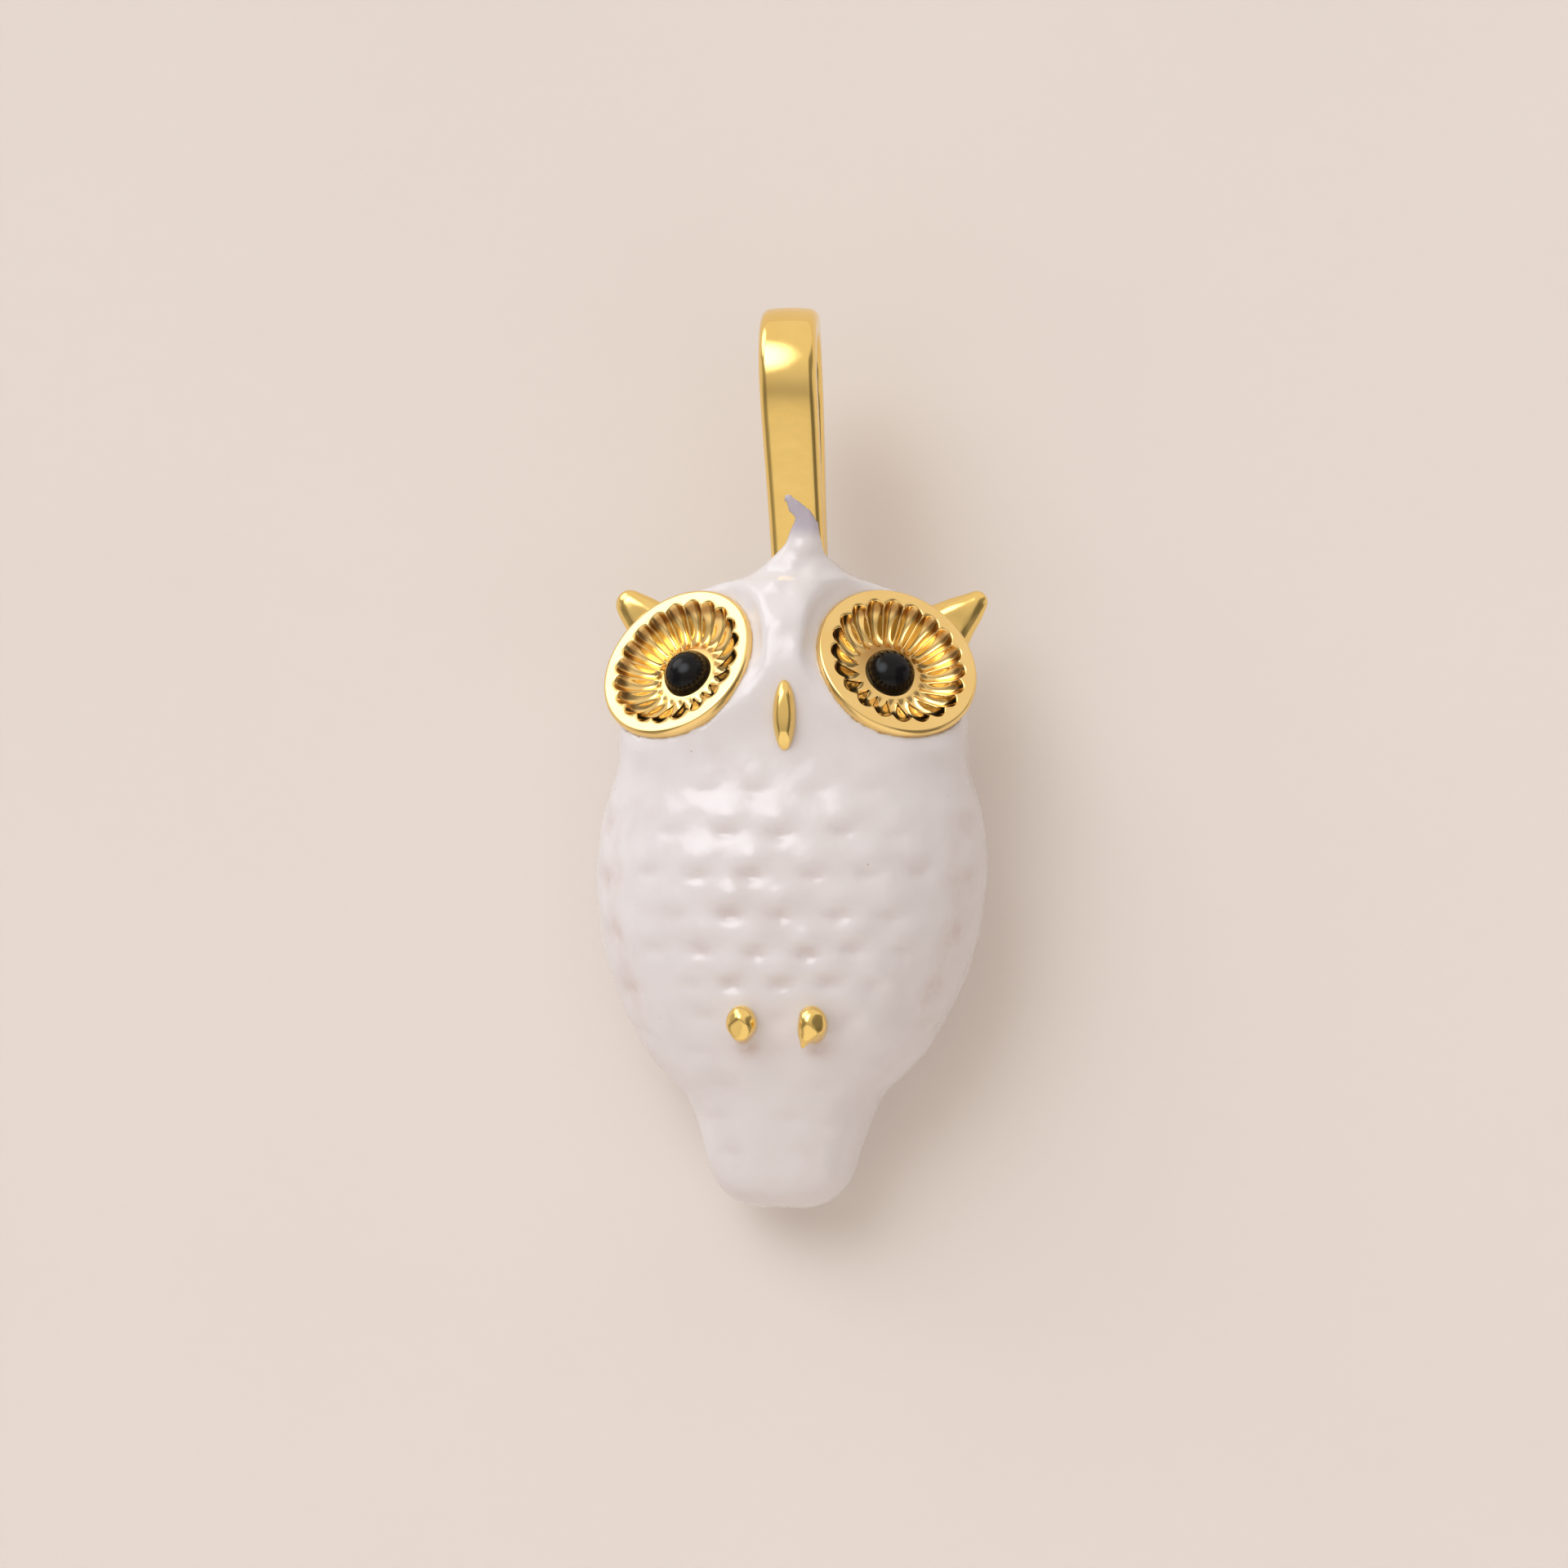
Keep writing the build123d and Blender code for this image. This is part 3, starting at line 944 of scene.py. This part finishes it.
# ------------------------------------------------------------------ materials
class Nodes:
    """A material's or world's nodes, added and joined by short calls."""

    def __init__(self, owner, shader="Principled BSDF"):
        owner.use_nodes = True
        self.owner = owner
        self.tree = owner.node_tree
        self.shader = self.tree.nodes[shader]

    def add(self, kind, **settings):
        made = self.tree.nodes.new(kind)
        for key, value in settings.items():
            setattr(made, key, value)
        return made

    def join(self, source, target):
        self.tree.links.new(source, target)

    def noise(self, size_mm, detail=3.0, rough=0.5):
        """Noise whose blotches are about size_mm across."""
        made = self.add("ShaderNodeTexNoise")
        made.inputs["Scale"].default_value = 1 / (size_mm * MM)
        made.inputs["Detail"].default_value = detail
        made.inputs["Roughness"].default_value = rough
        self.join(self.place(), made.inputs["Vector"])
        return made.outputs["Fac"]

    def place(self):
        """The point's place on its own object."""
        return self.add("ShaderNodeTexCoord").outputs["Object"]

    def ramp(self, source, low, high, from_value=0.0, to_value=1.0):
        """Source mapped from low..high to from_value..to_value, smoothly and clamped."""
        made = self.add("ShaderNodeMapRange", interpolation_type="SMOOTHSTEP")
        for key, value in (
            ("From Min", low), ("From Max", high), ("To Min", from_value), ("To Max", to_value)
        ):
            made.inputs[key].default_value = value
        self.join(source, made.inputs["Value"])
        return made.outputs["Result"]

    def mix(self, factor, a, b):
        """Colour a to colour b; each is a colour or another node's output."""
        made = self.add("ShaderNodeMix", data_type="RGBA")
        self.join(factor, made.inputs["Factor"])
        for key, value in (("A", a), ("B", b)):
            socket = [s for s in made.inputs if s.name == key and s.type == "RGBA"][0]
            if isinstance(value, tuple):
                socket.default_value = (*value, 1)
            else:
                self.join(value, socket)
        return [s for s in made.outputs if s.type == "RGBA"][0]

    def combine(self, a, b, operation="MULTIPLY"):
        """Two numbers made into one; b is a number or another node's output."""
        made = self.add("ShaderNodeMath", operation=operation)
        self.join(a, made.inputs[0])
        if isinstance(b, float):
            made.inputs[1].default_value = b
        else:
            self.join(b, made.inputs[1])
        return made.outputs[0]

    def towards(self, direction):
        """Cosine between the world's direction and a given one."""
        made = self.add("ShaderNodeVectorMath", operation="DOT_PRODUCT")
        self.join(self.add("ShaderNodeTexCoord").outputs["Generated"], made.inputs[0])
        direction = np.array(direction, float)
        made.inputs[1].default_value = (direction / np.linalg.norm(direction)).tolist()
        return made.outputs["Value"]

    def bump(self, height, depth_mm, normal=None):
        """The normal as a height of up to depth_mm tilts it."""
        made = self.add("ShaderNodeBump")
        made.inputs["Distance"].default_value = depth_mm * MM
        self.join(height, made.inputs["Height"])
        if normal is not None:
            self.join(normal, made.inputs["Normal"])
        return made.outputs["Normal"]

    def layer(self, name):
        """A number that add_layer put on the mesh."""
        return self.add("ShaderNodeAttribute", attribute_name=name).outputs["Fac"]

    def set(self, **values):
        """Constants on the shader's own sockets."""
        for key, value in values.items():
            self.shader.inputs[key.replace("_", " ")].default_value = value


def enamel_material():
    """White enamel: even gloss, warmer where it is thin over the relief and with painted shade in
    its hollows and under the claws, a few specks.
    """
    m = Nodes(bpy.data.materials.new("white_enamel"))
    base = m.mix(m.noise(5.0, 2), (0.70, 0.66, 0.665), (0.74, 0.71, 0.73))
    thin_enamel_and_shade = m.combine(m.layer("thin_enamel_and_shade"), m.ramp(m.noise(0.5, 3), 0.25, 0.75, 0.35, 1.0))
    base = m.mix(m.ramp(m.noise(1.7, 3), 0.48, 0.75, 0.0, 0.45), base, (0.665, 0.605, 0.61))
    # painted shade in the hollows and under the claws, along with the warmer tone of thin enamel
    base = m.mix(m.combine(thin_enamel_and_shade, 0.75), base, (0.54, 0.395, 0.345))
    base = m.mix(m.layer("crept"), base, (0.47, 0.43, 0.50))
    specks = m.add("ShaderNodeTexVoronoi")
    specks.inputs["Scale"].default_value = 1 / (0.95 * MM)
    m.join(m.place(), specks.inputs["Vector"])
    dot = m.ramp(specks.outputs["Distance"], 0.02, 0.05, 1.0, 0.0)
    chosen = m.add("ShaderNodeSeparateColor")
    m.join(specks.outputs["Color"], chosen.inputs["Color"])
    dot = m.combine(dot, m.ramp(chosen.outputs["Red"], 0.5, 0.9, 0.0, 0.55))
    base = m.mix(dot, base, (0.25, 0.2, 0.2))
    m.join(base, m.shader.inputs["Base Color"])
    m.join(m.ramp(m.noise(0.8, 3), 0.3, 0.7, 0.1, 0.18), m.shader.inputs["Roughness"])
    soft = m.bump(m.noise(0.9, 2), 0.035)
    m.join(m.bump(m.noise(0.16, 2), 0.0012, soft), m.shader.inputs["Normal"])
    m.set(IOR=1.58)
    return m.owner


def gold_material(name, roughness, tint=(1.0, 0.74, 0.27), with_painted_shade=False):
    """Polished plating: clear reflections, faint hairlines and slightly duller patches."""
    m = Nodes(bpy.data.materials.new(name))
    deep = tuple(c * s for c, s in zip(tint, (0.94, 0.87, 0.72)))
    base = m.mix(m.noise(1.1, 3), deep, tint)
    # painted shade in the dish's creases and a painted darker reflection above the bead
    if with_painted_shade:
        base = m.mix(m.combine(m.layer("painted_crease_shade"), 0.8), base, (0.33, 0.15, 0.04))
    m.join(base, m.shader.inputs["Base Color"])
    m.join(
        m.ramp(m.noise(0.45, 4, 0.6), 0.3, 0.75, roughness * 0.75, roughness * 1.35),
        m.shader.inputs["Roughness"],
    )
    worn = m.bump(m.noise(0.7, 2), 0.005)
    m.join(m.bump(m.noise(0.07, 3), 0.0005, worn), m.shader.inputs["Normal"])
    m.set(Metallic=1.0)
    return m.owner


def bead_material():
    """Black glass bead with faint dust."""
    m = Nodes(bpy.data.materials.new("black_bead"))
    m.join(
        m.mix(m.ramp(m.noise(0.12, 4), 0.62, 0.8), (0.004, 0.004, 0.005), (0.02, 0.02, 0.022)),
        m.shader.inputs["Base Color"],
    )
    m.join(m.ramp(m.noise(0.3, 3), 0.3, 0.7, 0.06, 0.14), m.shader.inputs["Roughness"])
    m.join(m.bump(m.noise(0.5, 2), 0.003), m.shader.inputs["Normal"])
    m.set(IOR=1.3)
    return m.owner


def plain_material(name, dark, light, roughness, metallic=0.0):
    """Solder and adhesive: hidden or nearly so, with a mottled surface."""
    m = Nodes(bpy.data.materials.new(name))
    m.join(m.mix(m.noise(0.3, 4), dark, light), m.shader.inputs["Base Color"])
    m.join(
        m.ramp(m.noise(0.2, 3), 0.3, 0.7, roughness * 0.8, roughness * 1.2),
        m.shader.inputs["Roughness"],
    )
    m.join(m.bump(m.noise(0.25, 3), 0.01), m.shader.inputs["Normal"])
    m.set(Metallic=metallic)
    return m.owner


# ------------------------------------------------------------------ the object
def dress(obj, material, slot, *nodes):
    """A visible piece's material, body, slot and the CAD nodes that it stands for; slot is not
    used.
    """
    obj.data.materials.clear()
    obj.data.materials.append(material)
    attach(obj, "root")
    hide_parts(*nodes)


gold = gold_material("gold_plate", 0.13)
dress(make_casting(), gold, "plated_casting", "body_casting")
dress(make_enamel(), enamel_material(), "enamel", "enamel_coat")
dress(make_bail(), gold_material("gold_strap", 0.11), "plated_strap", "bail")
cup_gold = gold_material("gold_dish", 0.12, (1.0, 0.74, 0.32), with_painted_shade=True)
bead = bead_material()
for name in SIDES:
    dress(make_cup(name), cup_gold, "plated_cup", f"eye_cup_{name}")
    dress(make_pupil(name), bead, "pupil_bead", f"pupil_{name}")

solder = plain_material("solder", (0.45, 0.4, 0.3), (0.62, 0.57, 0.45), 0.35, 1.0)
glue = plain_material("adhesive", (0.35, 0.3, 0.22), (0.5, 0.44, 0.34), 0.25)
for node, material in (
    ("bail_solder", solder),
    ("cup_solder_left", solder),
    ("cup_solder_right", solder),
    ("pupil_glue_left", glue),
    ("pupil_glue_right", glue),
):
    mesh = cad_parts[node].data
    mesh.materials.clear()
    mesh.materials.append(material)


# ------------------------------------------------------------------ stage, light, camera
VIEW_AZIMUTH = math.radians(5.6)
VIEW_WIDTH = 0.0524  # what the frame takes in at the owl
VIEW_ASIDE = -0.27 * MM  # the point looked at, from X = 0 and from the tail's end
VIEW_HEIGHT = 14.15 * MM
LENS = 100.0
SENSOR = 36.0
FLOOR_DROP = 0.05
FLOOR_HALF = 1.5
SHEET_Y = 0.00372  # where the sheet all but touches the owl's back
SHEET_TOUCH = -0.018
SHEET_LEAN = 0.15
SHEET_HALF = 0.09
SHEET_TOP = 0.07


def stage_material(name, colour, one_sided=False):
    """Matt paper; when one-sided it can't be seen from behind."""
    m = Nodes(bpy.data.materials.new(name))
    tint = tuple(c * 0.97 for c in colour)
    m.join(m.mix(m.noise(14.0, 2), tint, colour), m.shader.inputs["Base Color"])
    m.set(Roughness=0.9)
    if one_sided:
        clear = m.add("ShaderNodeBsdfTransparent")
        choose = m.add("ShaderNodeMixShader")
        m.join(m.add("ShaderNodeNewGeometry").outputs["Backfacing"], choose.inputs[0])
        m.join(m.shader.outputs[0], choose.inputs[1])
        m.join(clear.outputs[0], choose.inputs[2])
        m.join(choose.outputs[0], m.tree.nodes["Material Output"].inputs["Surface"])
    return m.owner


def flat(name, corners, material):
    """One flat sheet of the stage; its corners run anticlockwise seen from its front."""
    obj = make_object(name, np.array(corners) / MM, [list(range(len(corners)))])
    obj.data.polygons.foreach_set("use_smooth", [False])
    obj.data.materials.append(material)
    return obj


PAPER = (0.755, 0.695, 0.65)
floor_z = TAIL_END * MM - FLOOR_DROP
floor = flat(
    "floor",
    [
        (-FLOOR_HALF, -FLOOR_HALF, floor_z),
        (FLOOR_HALF, -FLOOR_HALF, floor_z),
        (FLOOR_HALF, FLOOR_HALF, floor_z),
        (-FLOOR_HALF, FLOOR_HALF, floor_z),
    ],
    stage_material("pale_floor", PAPER),
)
low_y, top_y = (SHEET_Y + SHEET_LEAN * (z - SHEET_TOUCH) for z in (floor_z, SHEET_TOP))
sheet = flat(
    "backdrop",
    [
        (-SHEET_HALF, low_y, floor_z),
        (SHEET_HALF, low_y, floor_z),
        (SHEET_HALF, top_y, SHEET_TOP),
        (-SHEET_HALF, top_y, SHEET_TOP),
    ],
    stage_material("pale_backdrop", PAPER, one_sided=True),
)
sheet.visible_diffuse = False
sheet.visible_shadow = False
floor.visible_glossy = False


def cosine(degrees):
    """Cosine of an angle in degrees."""
    return math.cos(math.radians(degrees))


# A pale room, brightest underfoot and overhead and dimmer at both sides, with one big soft
# window, a high light on the left and a faint one behind
ROOM_COLOUR = (1.05, 0.955, 0.865)
ROOM_LOW = 0.5184  # radiance towards the ground and the ceiling, before the ground's own share
ROOM_HIGH = 0.828
GROUND_SHARE = 1.78  # of the ground, and of the band between it and the horizon
BAND_SHARE = 0.88
SIDE_SHARES = ((-1, 0.5), (1, 0.34))  # of the left and the right
SIDE_PALE = 0.66  # what the sides gain high up
LIGHTS = (  # direction, angles where it starts and is full, radiance, lowest and full height
    ((-0.44, -0.78, 0.60), (29, 2), 3.1, (0.0, 0.42)),
    ((-0.70, -0.12, 0.70), (24, 8), 2.0, (-1.0, -0.9)),
    ((0.40, 0.80, 0.50), (45, 10), 0.5, (-1.0, -0.9)),
)
LIGHT_COLOUR = (0.91, 0.965, 1.03)

sky = Nodes(bpy.data.worlds.new("studio"), "Background")
bpy.context.scene.world = sky.owner
height = sky.towards((0, 0, 1))
room = sky.ramp(height, -0.4, 0.7, ROOM_LOW, ROOM_HIGH)
room = sky.combine(room, sky.ramp(height, -0.5, -0.2, GROUND_SHARE, BAND_SHARE))
room = sky.combine(room, sky.ramp(height, -0.18, 0.1, 1.0, 1 / BAND_SHARE))
high = sky.ramp(height, 0.45, 0.75)
for side, share in SIDE_SHARES:
    sideways = sky.towards((side, 0, 0))
    dim = sky.ramp(sideways, 0.44, 0.7, 1.0, share)
    pale = sky.combine(high, sky.ramp(sideways, 0.93, 0.985, 0.0, SIDE_PALE), "ADD")
    room = sky.combine(room, sky.combine(sky.combine(dim, pale, "ADD"), 1.0, "MINIMUM"))
sky.join(room, sky.shader.inputs["Strength"])
sky.shader.inputs["Color"].default_value = (*ROOM_COLOUR, 1)
total = sky.shader.outputs[0]
for direction, (start, full), radiance, (lowest, whole) in LIGHTS:
    light = sky.add("ShaderNodeBackground")
    light.inputs["Color"].default_value = (*LIGHT_COLOUR, 1)
    lobe = sky.ramp(sky.towards(direction), cosine(start), cosine(full), 0.0, radiance)
    sky.join(sky.combine(lobe, sky.ramp(height, lowest, whole)), light.inputs["Strength"])
    both = sky.add("ShaderNodeAddShader")
    sky.join(total, both.inputs[0])
    sky.join(light.outputs[0], both.inputs[1])
    total = both.outputs[0]
sky.join(total, sky.tree.nodes["World Output"].inputs["Surface"])

camera_data = bpy.data.cameras.new("camera")
camera_data.lens = LENS
camera_data.sensor_width = SENSOR
camera = bpy.data.objects.new("camera", camera_data)
bpy.context.scene.collection.objects.link(camera)
bpy.context.scene.camera = camera
view_distance = VIEW_WIDTH * LENS / SENSOR
look_at = np.array([VIEW_ASIDE, 0, TAIL_END * MM + VIEW_HEIGHT])
away = np.array([math.sin(VIEW_AZIMUTH), -math.cos(VIEW_AZIMUTH), 0])
camera.location = look_at + away * view_distance
camera.rotation_euler = (math.pi / 2, 0, VIEW_AZIMUTH)
camera_data.clip_start = 0.005
camera_data.clip_end = 10
bpy.context.scene.view_settings.view_transform = "Standard"
